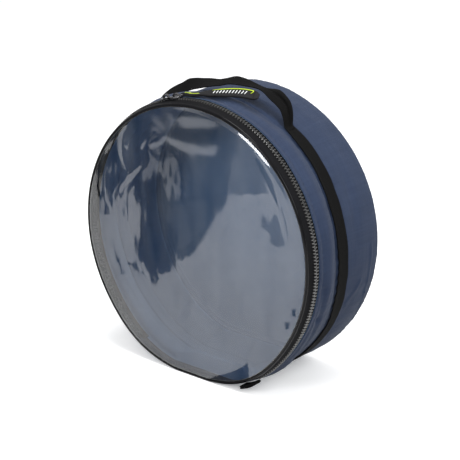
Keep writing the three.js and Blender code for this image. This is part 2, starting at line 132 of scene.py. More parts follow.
# Sharper creases of the wall between two places, each an angle and a depth.
Crease = namedtuple("Crease", "a1 b1 a2 b2 width rise")
WALL_CREASES = [
    Crease(88, 54, 108, 56, 2.0, 1.2),
    Crease(108, 56, 124, 67, 2.0, 1.2),
    Crease(101, 37, 110, 20, 2.0, 1.2),
    Crease(105, 33, 112, 22, 1.8, 0.6),
    Crease(98, -43, 112, -37, 5.0, -2.4),
    Crease(112, -37, 134, -33, 5.5, -2.8),
    Crease(100, -22, 128, -18, 4.0, 1.0),
    Crease(14, -40, 29, -20, 6.0, -1.2),
    Crease(-60, 30, -95, 52, 4.0, -0.9),
    Crease(-110, -35, -135, -28, 5.0, -1.4),
    Crease(60, 30, 84, 22, 6.0, -0.5),
]
# Folds of the window, seen from the front: a curve through three places across and up from the
# middle, how far the fold falls away to the left and right of the way along it, and its height.
Pleat = namedtuple("Pleat", "x1 z1 x2 z2 x3 z3 left right rise")
PLEATS = [
    Pleat(-98, 72, -117, 108, -102, 160, left=4.5, right=11, rise=0.55),
    Pleat(-136, 34, -97, 69, -54, 114, left=8, right=18, rise=1.0),
    Pleat(-92, 100, -72, 120, -58, 150, left=8, right=14, rise=0.5),
    Pleat(-120, -150, -70, -80, -62, -10, left=26, right=40, rise=0.5),
    Pleat(20, -150, 60, -60, 70, 20, left=40, right=60, rise=0.6),
    Pleat(96, 148, 140, 96, 164, 10, left=12, right=7, rise=0.9),
]
PLEAT_STEPS = 24
# Depth of the webbing's middle line round the drum, and its width where it is pinched.
STRAP_PATH = {
    "angle": (-180, -150, -90, -32, 50, 66, 86, 102, 118, 132, 150, 180),
    "y": (-3, -3, -6, -5.5, -6, -7.5, -6.5, -3.5, 3.5, 3.5, -3, -3),
}
STRAP_WIDTHS = {
    "angle": (-180, -50, -45, -39, 20, 27, 32, 37, 44, 107, 115, 125, 137, 180),
    "width": (21, 21, 17.5, 21, 21, 18.5, 16.5, 19.5, 21, 21, 17, 17.5, 21, 21),
}
# The handle above the drum: lift of the webbing's middle and roll that raises its back edge.
HANDLE = {
    "angle": (-45, -40, -34.5, -29, -22, -18, -11, -4, 0, 4, 8, 14, 17, 20, 22.5, 25, 28, 30.5, 33),
    "lift": (0, 4.5, 7.5, 7.8, 8, 9.6, 8.2, 9.6, 11.8, 16, 17.8, 19.8, 21, 22.5, 22.8, 22, 19.5, 12, 0),
    "roll": (0, 10, 24, 34, 44, 53, 30, 16, 20, 20, 13, -6, -12, 0, 30, 44, 40, 22, 0),
}
# Middle line of the pull beyond its neck, from the drum's centre, and its sections from neck to tip.
TAB_SPINE = [
    (-13.5, -58.5, 192.8),
    (-4, -55, 193.6),
    (24, -41.5, 197.2),
    (50, -31, 198.6),
    (71, -25, 196.2),
]
TAB_SECTIONS = {
    "at": (0, 0.05, 0.12, 0.28, 0.37, 0.6, 0.9, 0.96, 1),
    "width": (5, 5, 8, 8.5, 14, 15, 14.5, 12.5, 7),
    "thickness": (4.4, 4.4, 3.8, 3.6, 3.4, 3.4, 3.4, 3.0, 2.4),
    "roll": (0, 0, 4, 13, 19, 32, 42, 45, 45),
}
# The webbing tongue at the zip's end: out along its upper layer, round the tip and back.
END_TAB_PATH = {
    "angle": (155.5, 153.8, 152, 150.4, 148.9, 148.3, 148.9, 150.4, 152, 153.8, 155.5),
    "lift": (3.4, 3.8, 4.1, 4.1, 3.8, 2.6, 1.5, 1.7, 1.8, 1.5, 1.2),
}

# The photograph's viewpoint.
VIEW_AZIMUTH, VIEW_ELEVATION, VIEW_DISTANCE = 38.9, 18.83, 1.674
VIEW_LENS, VIEW_SENSOR = 98.37, 36.0
VIEW_SHIFT = (0.0072, 0.0009)

# The studio: the light's level along the horizon and overhead, the floor's own shade and glow, and
# the shade of the floor that the bag's sides see.
SKY_HORIZON, SKY_TOP = 0.45, 0.9
FLOOR_SHADE, FLOOR_GLOW, BOUNCE_SHADE = 0.99, 0.19, 0.14
# Cards on the floor that show only as reflections in the window, painting its dark and glowing pale
# patches:
# how light each is, and its outline as it shows on the flat window, across and up from the middle.
CARDS = {
    "card_main": (0.0, [
        (-176, 70), (-138, 145), (-66, 198), (20, 208), (92, 182), (74, 126), (67, 102), (60, 78),
        (39, 38), (19, 11), (3, -11), (-15, -25), (-25, -14), (-23, -38), (-43, -46), (-60, -37),
        (-48, -57), (-63, -69), (-78, -51), (-100, -40), (-95, -21), (-83, 22), (-80, 41), (-91, 42),
        (-112, 24), (-112, 2), (-130, 35), (-145, 61), (-134, 84), (-150, 62), (-155, 50), (-150, 36),
        (-146, 11), (-154, 7), (-160, 20), (-172, 51),
    ]),
    "card_streak": (0.0, [(-144, -24), (-138, -45), (-127, -71), (-122, -68), (-126, -49), (-138, -30)]),
    "card_spot": (0.0, [(-109, -49), (-99, -64), (-98, -59), (-103, -44)]),
    "card_corner": (0.0, [
        (26, -182), (62, -163), (84, -149), (95, -139), (97, -151), (96, -188), (26, -200),
    ]),
    "card_dot_1": (0.0, [(162, -45), (171, -44), (174, -55), (164, -58)]),
    "card_dot_2": (0.0, [(154, -66), (161, -65), (162, -74), (155, -76)]),
    "card_leaf": (1.7, [
        (-23, 164), (-9, 169), (13, 171), (34, 172), (53, 168), (39, 161), (13, 157), (-9, 155),
    ]),
    "card_tuck_1": (1.5, [(-62, 163), (-54, 161), (-40, 148), (-43, 143), (-54, 150)]),
    "card_tuck_2": (1.4, [(-34, 169), (-28, 167), (-23, 153), (-29, 150)]),
    "card_crescent": (1.7, [
        (-49, 136), (-32, 136), (-15, 136), (4, 135), (23, 135), (45, 140), (47, 135), (39, 127),
        (23, 121), (4, 119), (-15, 120), (-32, 123), (-43, 128),
    ]),
    "card_band": (0.16, [(-25, 50), (31, 70), (28, 33), (-3, -4), (-20, -8), (-37, 32)]),
    "card_fall": (1.0, [
        (-44, 112), (-29, 111), (-21, 90), (-10, 68), (-19, 58), (-33, 65), (-36, 83), (-47, 101),
    ]),
    "card_right": (0.6, [(130, 80), (116, 44), (126, 34), (144, 28), (153, 52), (150, 76), (142, 60)]),
    "card_upper_right": (0.45, [
        (84, 168), (110, 140), (130, 114), (121, 96), (107, 86), (94, 92), (80, 80), (62, 76), (66, 100),
        (74, 126),
    ]),
}
CARD_HEIGHT, CARD_STEP, CARD_SHADE = 4.0, 0.1, 0.01
GLOW_COLOUR = (0.96, 0.99, 1.03, 1)
# The soft lamps, all aimed at one place, and a small one in the bag, in metres and watts.
Lamp = namedtuple("Lamp", "name place size power reflected", defaults=[True])
LAMPS = [
    Lamp("front", (-0.19, -2.05, 1.2), size=0.66, power=14),
    Lamp("overhead", (0.1, -0.1, 2.4), size=1.2, power=28),
    Lamp("right", (2.0, -0.1, 1.7), size=1.4, power=26),
    Lamp("fill", (1.5, -2.0, 1.1), size=2.0, power=26, reflected=False),
]
LAMP_AIM = (0, 0, 0.2)
INSIDE_LAMP = Lamp("inside", (-0.01, -0.055, 0.185), size=0.05, power=0.18, reflected=False)

scene = bpy.context.scene
scene.view_settings.view_transform = "Standard"


def add_camera():
    camera = bpy.data.objects.new("camera", bpy.data.cameras.new("camera"))
    scene.collection.objects.link(camera)
    turn, rise = math.radians(VIEW_AZIMUTH), math.radians(VIEW_ELEVATION)
    level = math.cos(rise)
    back = Vector((math.sin(turn) * level, -math.cos(turn) * level, math.sin(rise)))
    camera.location = Vector((0, 0, CENTRE_HEIGHT * MM)) + back * VIEW_DISTANCE
    camera.rotation_mode = "QUATERNION"
    camera.rotation_quaternion = (-back).to_track_quat("-Z", "Y")
    camera.data.lens = VIEW_LENS
    camera.data.sensor_width = VIEW_SENSOR
    camera.data.shift_x, camera.data.shift_y = VIEW_SHIFT
    scene.camera = camera


# Shapes


def bell(t):
    return np.exp(-t * t)


def smooth(t):
    t = np.clip(t, 0, 1)
    return t * t * (3 - 2 * t)


def eased(table, key, place, column, ease):
    """A column's value along a table, with its corners rounded over a distance either side."""
    steps = np.linspace(-1, 1, 9)
    weights = np.cos(steps * math.pi / 2) ** 2
    total = 0
    for step, weight in zip(steps, weights):
        total = total + weight * np.interp(place + ease * step, table[key], table[column])
    return total / weights.sum()


def ridges(folds, a, b, stretch=1.0):
    """Height at places a, b of ridges that run between two places. Stretch scales the first axis."""
    height = 0
    for fold in folds:
        along = (fold.a2 - fold.a1) * stretch
        aside = fold.b2 - fold.b1
        from_a, from_b = (a - fold.a1) * stretch, b - fold.b1
        share = np.clip((from_a * along + from_b * aside) / (along**2 + aside**2), 0, 1)
        away = np.hypot(from_a - share * along, from_b - share * aside)
        height = height + fold.rise * bell(away / fold.width)
    return height


def pleated(pleats, x, z):
    """Height at places x, z of curved folds that taper to both ends."""
    height = 0
    steps = np.linspace(0, 1, PLEAT_STEPS + 1)[:, None]
    for pleat in pleats:
        first, middle, last = (np.array(pleat[i : i + 2], float) for i in (0, 2, 4))
        bend = 2 * middle - (first + last) / 2
        line = (1 - steps) ** 2 * first + 2 * steps * (1 - steps) * bend + steps**2 * last
        nearest = np.full(x.shape, np.inf)
        rise = np.zeros(x.shape)
        for number, (start, ahead) in enumerate(zip(line, np.diff(line, axis=0))):
            from_x, from_z = x - start[0], z - start[1]
            share = np.clip((from_x * ahead[0] + from_z * ahead[1]) / (ahead @ ahead), 0, 1)
            away = np.hypot(from_x - share * ahead[0], from_z - share * ahead[1])
            on_left = ahead[0] * from_z > ahead[1] * from_x
            taper = np.sin(math.pi * (number + share) / PLEAT_STEPS) ** 2
            fall = taper * bell(away / np.where(on_left, pleat.left, pleat.right))
            rise = np.where(away < nearest, fall, rise)
            nearest = np.minimum(away, nearest)
        height = height + pleat.rise * rise
    return height


def ripple(points, pitch, seed, waves=9):
    """A soft uneven height of about one, with bumps of the given pitch."""
    draw = np.random.default_rng(seed)
    height = 0
    for _ in range(waves):
        heading = draw.normal(size=3)
        heading *= 2 * math.pi / (np.linalg.norm(heading) * pitch * draw.uniform(0.7, 1.5))
        height = height + np.sin(points @ heading + draw.uniform(0, 2 * math.pi))
    return height / math.sqrt(waves)


def bumpy(points, bumps):
    """Height of soft unevenness at points."""
    return sum(row.height * ripple(points, row.pitch, row.seed) for row in bumps)


def banded(bands, y):
    """Height at a depth of bands that run right round the wall."""
    return sum(band.rise * bell((y - band.y) / band.width) for band in bands)


def outermost(y):
    """Plain radius of the outermost piece at a depth, which is the one that meets the floor."""
    under_strap = np.abs(y - STRAP_FLOOR_Y) < STRAP_WIDTH / 2 + 0.8
    places = [y < TAPE_FRONT, y < GUSSET_FRONT - GAP / 2, under_strap]
    radii = [PIPING_RADIUS + PIPING_BEAD, CHAIN_TOP - GAP, DRUM_RADIUS + GAP + STRAP_THICK]
    return np.select(places, radii, DRUM_RADIUS)


def draped_radius(angle, y, extra=0):
    """Radius of the wall once it has puffed, sagged and met the floor."""
    radius = DRUM_RADIUS + eased(PUFF, "y", y, "rise", 6) + extra
    for fold in FOLDS:
        around = (angle - fold.angle + 180) % 360 - 180
        radius = radius + fold.rise * bell(around / fold.spread) * bell((y - fold.y) / fold.reach)
    down = np.maximum(-np.cos(np.radians(angle)), 1e-6)
    return np.minimum(radius, CENTRE_HEIGHT / down * DRUM_RADIUS / outermost(y))


def place(angle, radius, y):
    """Points at an angle, radius and depth."""
    turn = np.radians(angle)
    across, deep, up = np.broadcast_arrays(radius * np.sin(turn), y, radius * np.cos(turn))
    return np.stack([across, deep, up + CENTRE_HEIGHT], axis=-1)


def draped(angle, radius, y, extra=0):
    """Points of a piece made on the plain drum, moved to the draped one."""
    return place(angle, radius * draped_radius(angle, y, extra) / DRUM_RADIUS, y)


def lengths(points):
    """Distance from the first point along a line of points."""
    steps = np.linalg.norm(np.diff(points, axis=0), axis=1)
    return np.concatenate([[0], np.cumsum(steps)])


def between(at, along, rows):
    """Points at distances along rows of points."""
    return np.stack([np.interp(at, along, rows[:, k]) for k in range(3)], axis=-1)


def unit(rows):
    return rows / np.linalg.norm(rows, axis=-1, keepdims=True)


def axes_along(ahead, out):
    """Three square axes: ahead, to the side and outwards."""
    ahead = unit(ahead)
    side = unit(np.cross(out, ahead))
    return np.array([ahead, side, np.cross(ahead, side)])


def piece(name, points, faces, look, slot=None, uv=None, body="bag", sharp=50, front=None):
    """A mesh that rides on a body. Front is the way that an open surface faces."""
    mesh = bpy.data.meshes.new(name)
    mesh.from_pydata((np.asarray(points) * MM).tolist(), [], faces)
    if uv is not None:
        corners = np.empty(len(mesh.loops), int)
        mesh.loops.foreach_get("vertex_index", corners)
        layer = mesh.uv_layers.new(name="weave")
        layer.data.foreach_set("uv", np.asarray(uv)[corners].ravel())
    work = bmesh.new()
    work.from_mesh(mesh)
    bmesh.ops.remove_doubles(work, verts=work.verts, dist=WELD)
    bmesh.ops.recalc_face_normals(work, faces=work.faces)
    if front is not None and sum(f.normal.dot(front) for f in work.faces) < 0:
        bmesh.ops.reverse_faces(work, faces=work.faces)
    work.to_mesh(mesh)
    work.free()
    mesh.shade_smooth()
    mesh.set_sharp_from_angle(angle=math.radians(sharp))
    mesh.materials.append(look)
    made = bpy.data.objects.new(name, mesh)
    scene.collection.objects.link(made)
    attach(made, body)
    return made


def grid_faces(steps, sides):
    index = np.arange(steps * sides).reshape(steps, sides)
    corners = [index[:-1, :-1], index[1:, :-1], index[1:, 1:], index[:-1, 1:]]
    return np.stack(corners, axis=-1).reshape(-1, 4).tolist()


def sweep(name, rings, look, closed=True, **more):
    """A piece from rings of points along a path, each ring a closed loop."""
    rings = np.asarray(rings, float)
    if closed:
        rings = np.concatenate([rings, rings[:1]])
    loops = np.concatenate([rings, rings[:, :1]], axis=1)
    steps, sides = loops.shape[:2]
    faces = grid_faces(steps, sides)
    if not closed:
        first = list(range(sides - 1))
        faces += [first, [(steps - 1) * sides + i for i in reversed(first)]]
    along, round_it = lengths(loops.mean(axis=1)), lengths(loops[0])
    uv = np.stack(np.meshgrid(along, round_it, indexing="ij"), axis=-1)
    return piece(name, loops.reshape(-1, 3), faces, look, uv=uv.reshape(-1, 2), **more)


def strip_profile(width, thick, count):
    """A flat strip's section with round edges, as places across and up, both from its middle."""
    across = np.linspace(-1, 1, count) * (width / 2 - thick / 2)
    turn = np.radians([60, 30, 0, -30, -60])
    edge_a, edge_u = np.cos(turn) * thick / 2, np.sin(turn) * thick / 2
    flat = np.full(count, thick / 2)
    top = [across, flat]
    right = [across[-1] + edge_a, edge_u]
    bottom = [across[::-1], -flat]
    left = [across[0] - edge_a, -edge_u]
    return np.concatenate([top, right, bottom, left], axis=1)


def copies(name, sets, faces, look, **more):
    """One piece of many copies of a small shape, each a set of points with the same faces."""
    joined = []
    for number, points in enumerate(sets):
        joined += [[i + number * len(points) for i in face] for face in faces]
    return piece(name, np.concatenate(sets), joined, look, **more)


def shape_of(work):
    """The points and faces of a small bmesh, which is then freed."""
    work.verts.ensure_lookup_table()
    points = np.array([v.co for v in work.verts])
    faces = [[v.index for v in f.verts] for f in work.faces]
    work.free()
    return points, faces


def stitch_shape(length, thick):
    work = bmesh.new()
    bmesh.ops.create_uvsphere(work, u_segments=8, v_segments=6, radius=0.5)
    points, faces = shape_of(work)
    return points[:, [2, 0, 1]] * (length, thick, thick), faces


def stitches(name, path, normals, length, pitch, thick, look, **more):
    """Thread along a line of points, as stitches that dip at both ends."""
    points, faces = stitch_shape(length, thick)
    along = lengths(path)
    count = int(along[-1] / pitch)
    sets = []
    for step in (np.arange(count) + 0.5) * along[-1] / count:
        ahead = between(step + 0.5, along, path) - between(step - 0.5, along, path)
        axes = axes_along(ahead, between(step, along, normals))
        sets.append(between(step, along, path) + points @ axes)
    return copies(name, sets, faces, look, **more)


# Materials


class Look:
    """A material with a Principled shader and short ways to add nodes to it."""

    def __init__(self, name, **sockets):
        self.material = bpy.data.materials.new(name)
        self.material.use_nodes = True
        self.nodes = self.material.node_tree.nodes
        self.links = self.material.node_tree.links
        self.shader = self.nodes["Principled BSDF"]
        self.output = self.nodes["Material Output"]
        self.set(self.shader, sockets)

    def set(self, node, sockets):
        for name, value in sockets.items():
            socket = node.inputs[name if isinstance(name, int) else name.replace("_", " ")]
            if isinstance(value, bpy.types.NodeSocket):
                self.links.new(value, socket)
            else:
                socket.default_value = value

    def node(self, kind, sockets=None, **settings):
        made = self.nodes.new("ShaderNode" + kind)
        for name, value in settings.items():
            setattr(made, name, value)
        self.set(made, sockets or {})
        return made

    def weave(self, across=(1, 1, 1)):
        """Millimetres along and across the piece's surface, scaled."""
        uv = self.node("UVMap", uv_map="weave").outputs["UV"]
        return self.node("Mapping", {"Vector": uv, "Scale": across}).outputs["Vector"]

    def place(self):
        return self.node("TexCoord").outputs["Object"]

    def noise(self, vector, scale, detail=2.0, roughness=0.5):
        sockets = {"Vector": vector, "Scale": scale, "Detail": detail, "Roughness": roughness}
        return self.node("TexNoise", sockets).outputs["Fac"]

    def threads(self, pitch, direction, distortion=0.0):
        sockets = {"Vector": self.weave(), "Scale": math.pi / 10 / pitch, "Distortion": distortion}
        made = self.node("TexWave", sockets, wave_type="BANDS", bands_direction=direction)
        return made.outputs["Fac"]

    def math(self, operation, first, second):
        return self.node("Math", {0: first, 1: second}, operation=operation).outputs[0]

    def ramp(self, factor, low, high, colours):
        made = self.node("ValToRGB", {"Fac": factor})
        for stop, at, colour in zip(made.color_ramp.elements, (low, high), colours):
            stop.position = at
            stop.color = (*colour, 1)
        return made.outputs["Color"]

    def span(self, factor, low, high):
        made = self.node("MapRange", {"Value": factor, "To_Min": low, "To_Max": high})
        return made.outputs["Result"]

    def bump(self, height, distance, strength):
        sockets = {"Height": height, "Distance": distance * MM, "Strength": strength}
        return self.node("Bump", sockets).outputs["Normal"]

    def dress(self, colour, roughness, normal):
        self.set(self.shader, {"Base_Color": colour, "Roughness": roughness, "Normal": normal})
        return self.material


def woven(name, dark, light, pitch, relief, rough, streak=(0.015, 0.42), **sockets):
    """Cloth with threads both ways, uneven thread shades and faint streaks along its length."""
    look = Look(name, **sockets)
    warp, weft = look.threads(pitch, "X", 0.4), look.threads(pitch, "Y", 0.4)
    along = look.noise(look.weave((*streak, 1)), 1.0, 3.0)
    across = look.noise(look.weave((streak[1], streak[0], 1)), 1.0, 3.0)
    cloud = look.noise(look.place(), 14.0, 2.0)
    shade = look.math("ADD", look.math("ADD", along, across), cloud)
    weave = look.math("MULTIPLY", look.math("ADD", warp, weft), 0.25)
    tone = look.math("ADD", look.math("MULTIPLY", shade, 0.25), weave)
    colour = look.ramp(tone, 0.44, 0.82, (dark, light))
    grain = look.noise(look.weave(), 2.2 / pitch, 2.0)
    height = look.math("ADD", look.math("ADD", warp, weft), grain)
    roughness = look.span(shade, rough - 0.06, rough + 0.02)
    normal = look.bump(height, relief, 0.6)
    return look.dress(colour, roughness, normal)


def webbing_look():
    """Flat webbing: ribs along it, crossed by short weft floats."""
    look = Look("black webbing", Specular_IOR_Level=0.04)
    ribs, floats = look.threads(1.7, "Y", 0.2), look.threads(1.25, "X", 0.5)
    fuzz = look.noise(look.weave((0.6, 1.6, 1)), 1.4, 3.0)
    streaks = look.noise(look.weave((0.03, 0.9, 1)), 1.0, 2.0)
    tone = look.math("MULTIPLY", look.math("ADD", look.math("ADD", ribs, fuzz), streaks), 0.34)
    colour = look.ramp(tone, 0.3, 0.85, ((0.003, 0.003, 0.0031), (0.012, 0.0119, 0.0119)))
    height = look.math("ADD", look.math("ADD", ribs, look.math("MULTIPLY", floats, 0.5)), fuzz)
    roughness = look.span(fuzz, 0.7, 0.9)
    normal = look.bump(height, 0.25, 0.8)
    return look.dress(colour, roughness, normal)


def moulded(name, dark, light, rough, grain, relief, **sockets):
    """Plastic, rubber or plated metal with a fine grain, uneven shine and faint scuffs."""
    look = Look(name, **sockets)
    cloud = look.noise(look.place(), 60.0, 4.0, 0.6)
    fine = look.noise(look.place(), grain, 3.0)
    colour = look.ramp(cloud, 0.35, 0.75, (dark, light))
    roughness = look.span(cloud, rough * 0.8, rough * 1.2)
    normal = look.bump(fine, relief, 0.5)
    return look.dress(colour, roughness, normal)


def film_look():
    """Clear flexible film: it mirrors by angle, passes the rest, and is faintly hazy in streaks."""
    look = Look("clear film")
    look.nodes.remove(look.shader)
    smear = look.noise(look.place(), 16.0, 3.0)
    shine = look.node("BsdfGlossy", {"Roughness": look.span(smear, 0.02, 0.07)})
    clear = look.node("BsdfTransparent", {"Color": (0.95, 0.97, 1.0, 1)})
    haze = look.node("BsdfDiffuse", {"Color": (0.62, 0.66, 0.7, 1)})
    long_way = look.node("Mapping", {"Vector": look.place(), "Scale": (3.0, 1.0, 0.8)})
    streaks = look.noise(long_way.outputs["Vector"], 14.0, 3.0)
    hazy = look.span(streaks, -0.05, 0.11)
    body = look.node("MixShader", {0: hazy, 1: clear.outputs[0], 2: haze.outputs[0]})
    mirror = look.node("Fresnel", {"IOR": 1.84}).outputs["Fac"]
    both = look.node("MixShader", {0: mirror, 1: body.outputs[0], 2: shine.outputs[0]})
    look.set(look.output, {"Surface": both.outputs[0]})
    return look.material


navy = woven(
    "navy cloth", (0.0115, 0.0205, 0.048), (0.031, 0.047, 0.091), pitch=0.95, relief=0.14, rough=0.82,
    Sheen_Weight=0.06, Sheen_Roughness=0.5, Specular_IOR_Level=0.25,
)
# The coated insides are painted light: far lighter than the navy cloth, to stand in for light inside the
# bag, and the side's lighter still, where its wall is in shade.
back_lining_painted_light = woven(
    "inside of the back with painted light", (0.07, 0.12, 0.205), (0.095, 0.155, 0.265),
    pitch=0.95, relief=0.02, rough=0.8, Specular_IOR_Level=0.2,
)
side_lining_painted_light = woven(
    "inside of the side with more painted light", (0.125, 0.205, 0.34), (0.165, 0.26, 0.42),
    pitch=0.95, relief=0.02, rough=0.8, Specular_IOR_Level=0.2,
)
tape_black = woven(
    "black zip tape", (0.003, 0.003, 0.004), (0.008, 0.008, 0.009), pitch=0.8, relief=0.1, rough=0.75,
    streak=(0.02, 0.9), Specular_IOR_Level=0.1,
)
webbing = webbing_look()
clear_film = film_look()
gloss_black = moulded(
    "gloss black piping", (0.003, 0.003, 0.004), (0.006, 0.006, 0.007),
    rough=0.12, grain=900, relief=0.02, Specular_IOR_Level=0.12,
)
# Pale grey for the film's welded edge: partly its own tone, partly a painted highlight along it.
edge_painted_highlight = moulded(
    "welded film edge with painted highlight", (0.10, 0.10, 0.095), (0.19, 0.185, 0.175),
    rough=0.3, grain=900, relief=0.03, Specular_IOR_Level=0.4,
)
teeth_black = moulded(
    "black zip teeth", (0.018, 0.018, 0.018), (0.036, 0.035, 0.033),
    rough=0.18, grain=1400, relief=0.03, Specular_IOR_Level=1.0,
)
# Polished metal given a dark colour: a painted dark reflection of surroundings that the bright studio
# lacks, so it shows dark with bright glints.
metal_painted_dark = moulded(
    "polished metal painted dark", (0.10, 0.10, 0.105), (0.15, 0.15, 0.155),
    rough=0.1, grain=700, relief=0.01, Metallic=1.0,
)
rubber = moulded(
    "black rubber", (0.005, 0.005, 0.006), (0.011, 0.011, 0.012),
    rough=0.55, grain=1600, relief=0.05, Specular_IOR_Level=0.15,
)
lime = moulded(
    "lime inlay", (0.42, 0.55, 0.01), (0.52, 0.68, 0.02), rough=0.4, grain=1200, relief=0.03,
)
pale = moulded(
    "pale inlay", (0.70, 0.72, 0.72), (0.82, 0.84, 0.84), rough=0.4, grain=1200, relief=0.03,
)
navy_thread = moulded(
    "navy thread", (0.012, 0.020, 0.045), (0.03, 0.044, 0.085), rough=0.7, grain=2500, relief=0.05,
)
black_thread = moulded(
    "black thread", (0.003, 0.003, 0.003), (0.010, 0.010, 0.010),
    rough=0.8, grain=2500, relief=0.05, Specular_IOR_Level=0.05,
)


# The bag's pieces


def strap_edges(angle):
    """Depth of the webbing's middle line at an angle, and half its width."""
    middle = eased(STRAP_PATH, "angle", angle, "y", 5)
    half = eased(STRAP_WIDTHS, "angle", angle, "width", 3) / 2
    return middle, half


def wall_relief(angle, y, seams=1.0):
    """Seams, puckers, creases and unevenness of the wall, as a rise. Seams scales the sewn lines."""
    round_it = angle * ARC
    uneven = np.sin(round_it / 1.05 + 1.6 * np.sin(round_it / 13.0))
    relief = banded(SEAM_BANDS, y)
    relief = relief + SEAM_PUCKER * uneven * bell((y - STITCH_Y) / PUCKER_WIDTH)
    relief = relief + BACK_PUCKER * np.sin(round_it / 1.4) * bell((y - BACK_SEAM_Y) / PUCKER_WIDTH)
    relief = relief * seams + banded(WALL_BANDS, y)
    relief = relief + ridges(WALL_CREASES, angle, y, ARC)
    points = place(angle, DRUM_RADIUS, y)
    relief = relief + bumpy(points, WALL_BUMPS)
    relief = relief + bumpy(points * (1, 0.3, 1), WALL_WRINKLES)
    # The wall dips along both edges of the webbing and doesn't rise through it.
    middle, half = strap_edges(angle)
    relief = relief - 1.5 * bell((y - middle + half + 0.9) / 1.9)
    relief = relief - 0.7 * bell((y - middle - half - 0.7) / 1.6)
    covered = smooth((half + 2.5 - np.abs(y - middle)) / 2.5)
    return relief - covered * np.maximum(relief, 0)


def line_inside(made):
    """Give the faces that look into the bag the coated lining, painted far lighter than the cloth as
    painted light, and lighter still at the side.
    """
    for look in (side_lining_painted_light, back_lining_painted_light):
        made.data.materials.append(look)
    middle = Vector((0, 0, CENTRE_HEIGHT * MM))
    for face in made.data.polygons:
        if face.normal.dot((middle - face.center).normalized()) > 0.1:
            face.material_index = 1 if face.center.y < LINING_TURN * MM else 2


def gusset():
    angle = np.arange(0, 360, 0.75)[:, None] - 180
    flat = np.linspace(GUSSET_FRONT, GUSSET_BACK, 66)
    fall = np.array(GUSSET_CORNER["fall"])
    outer_y = np.concatenate([[GUSSET_FRONT - 0.4], flat, GUSSET_CORNER["y"]])
    outer_r = np.concatenate([[-CLOTH / 2], np.zeros(len(flat)), -fall])
    inner_y, inner_r = outer_y[:0:-1], outer_r[:0:-1] - CLOTH
    inner_y[: len(fall)] -= 0.9  # keeps the cloth's thickness where it turns
    y = np.concatenate([outer_y, inner_y])[None, :]
    radius = DRUM_RADIUS + np.concatenate([outer_r, inner_r])[None, :]
    seams = np.concatenate([np.ones(len(outer_y)), np.zeros(len(inner_y))])[None, :]
    rings = draped(angle, radius, y, wall_relief(angle, y, seams))
    made = sweep("gusset_cloth", rings, navy, slot="navy_cloth")
    line_inside(made)
    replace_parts(made, "gusset")
    return made


def back_panel():
    angle = np.arange(0, 360, 1.0)[:, None] - 180
    reach = np.concatenate([np.linspace(0, 176, 56), np.linspace(178, 187, 10)])
    deep = eased(BACK_PROFILE, "r", reach, "y", 3) - 0.5 * bell((reach - BACK_SEAM_RADIUS) / 1.2)
    radius = np.concatenate([reach, reach[::-1]])[None, :]
    hem = 1.2 * bell((reach - 185.0) / 9)  # the inner layer meets the turned end of the side
    y = np.concatenate([deep, (deep - CLOTH - hem)[::-1]])[None, :]
    rings = draped(angle, radius, y)
    free = smooth((183 - radius) / 30)
    rings[..., 1] += free * bumpy(rings, BACK_BUMPS)
    rings[..., 1] += 0.18 * np.sin(angle * ARC / 1.3) * bell((radius - BACK_SEAM_RADIUS) / 4)
    made = sweep("back_cloth", rings, navy, slot="navy_cloth")
    line_inside(made)
    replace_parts(made, "back_panel")
    return made


def strip_rings(angle, y, inner, thick, extra=0):
    """Rings of a strip on the drum, from its depths and the inner radius at each."""
    radius = np.concatenate([inner + thick, inner[::-1]])[None, :]
    deep = np.concatenate([y, y[::-1]])[None, :]
    return draped(angle, radius, deep, extra)


def hinge_strip():
    angle = np.linspace(HINGE_FROM, 360 - HINGE_FROM, 100)[:, None]
    y = np.linspace(TAPE_FRONT, GUSSET_FRONT - GAP, 14)
    inner = np.interp(y, (TAPE_FRONT, CHAIN_Y), (TAPE_FRONT_INNER, TAPE_INNER))
    rings = strip_rings(angle, y, inner, CLOTH)
    made = sweep("hinge_cloth", rings, navy, closed=False, slot="navy_cloth")
    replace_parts(made, "hinge_strip")
    return made


def window():
    spokes, rings, lip_rings = 420, 146, 28
    angle = np.linspace(-180, 180, spokes + 1)[None, :]
    inside = np.linspace(0, LIP_FROM - 2, rings, endpoint=False)
    reach = np.concatenate([inside, np.linspace(LIP_FROM - 2, FILM_RADIUS, lip_rings)])[:, None]
    flat = place(angle, reach, FILM_Y)
    across, up = flat[..., 0], flat[..., 2] - CENTRE_HEIGHT
    free = smooth((FILM_RADIUS - reach) / FILM_HEM)
    forward = free * pleated(PLEATS, across, up)
    # The film is calm at the top, streaked at the left and mottled at the upper right.
    calm = 1 - 0.85 * smooth((up - 115) / 30)
    streaked = smooth((20 - across) / 60) * smooth((130 - np.abs(up - 20)) / 60)
    mottled = bell(np.hypot(across - 120, up - 80) / 50)
    forward = forward + free * calm * bumpy(flat, FILM_BUMPS)
    forward = forward + free * streaked * bumpy(flat * (1, 1, 0.22), FILM_STREAKS)
    forward = forward + free * mottled * bumpy(flat, FILM_MOTTLES)
    down = smooth((reach - LIP_FROM) / (FILM_RADIUS - LIP_FROM))
    forward = forward + LIP_FALL * (1 - down * bell((angle - LIP_ANGLE) / LIP_SPREAD))
    points = place(angle, reach * draped_radius(angle, FILM_Y) / DRUM_RADIUS, FILM_Y - forward)
    uv = np.stack([across, up], axis=-1).reshape(-1, 2)
    faces = grid_faces(rings + lip_rings, spokes + 1)
    made = piece(
        "window_film", points.reshape(-1, 3), faces, clear_film,
        slot="clear_film", uv=uv, front=Vector((0, -1, 0)),
    )
    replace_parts(made, "front_window")
    return made


def bead(name, radius, y, thick, look, slot):
    """A round bead about the drum's axis."""
    angle = np.arange(0, 360, 1.0)[:, None]
    turn = np.radians(np.arange(0, 360, 22.5))[None, :]
    rings = draped(angle, radius + thick * np.cos(turn), y + thick * np.sin(turn))
    return sweep(name, rings, look, slot=slot)


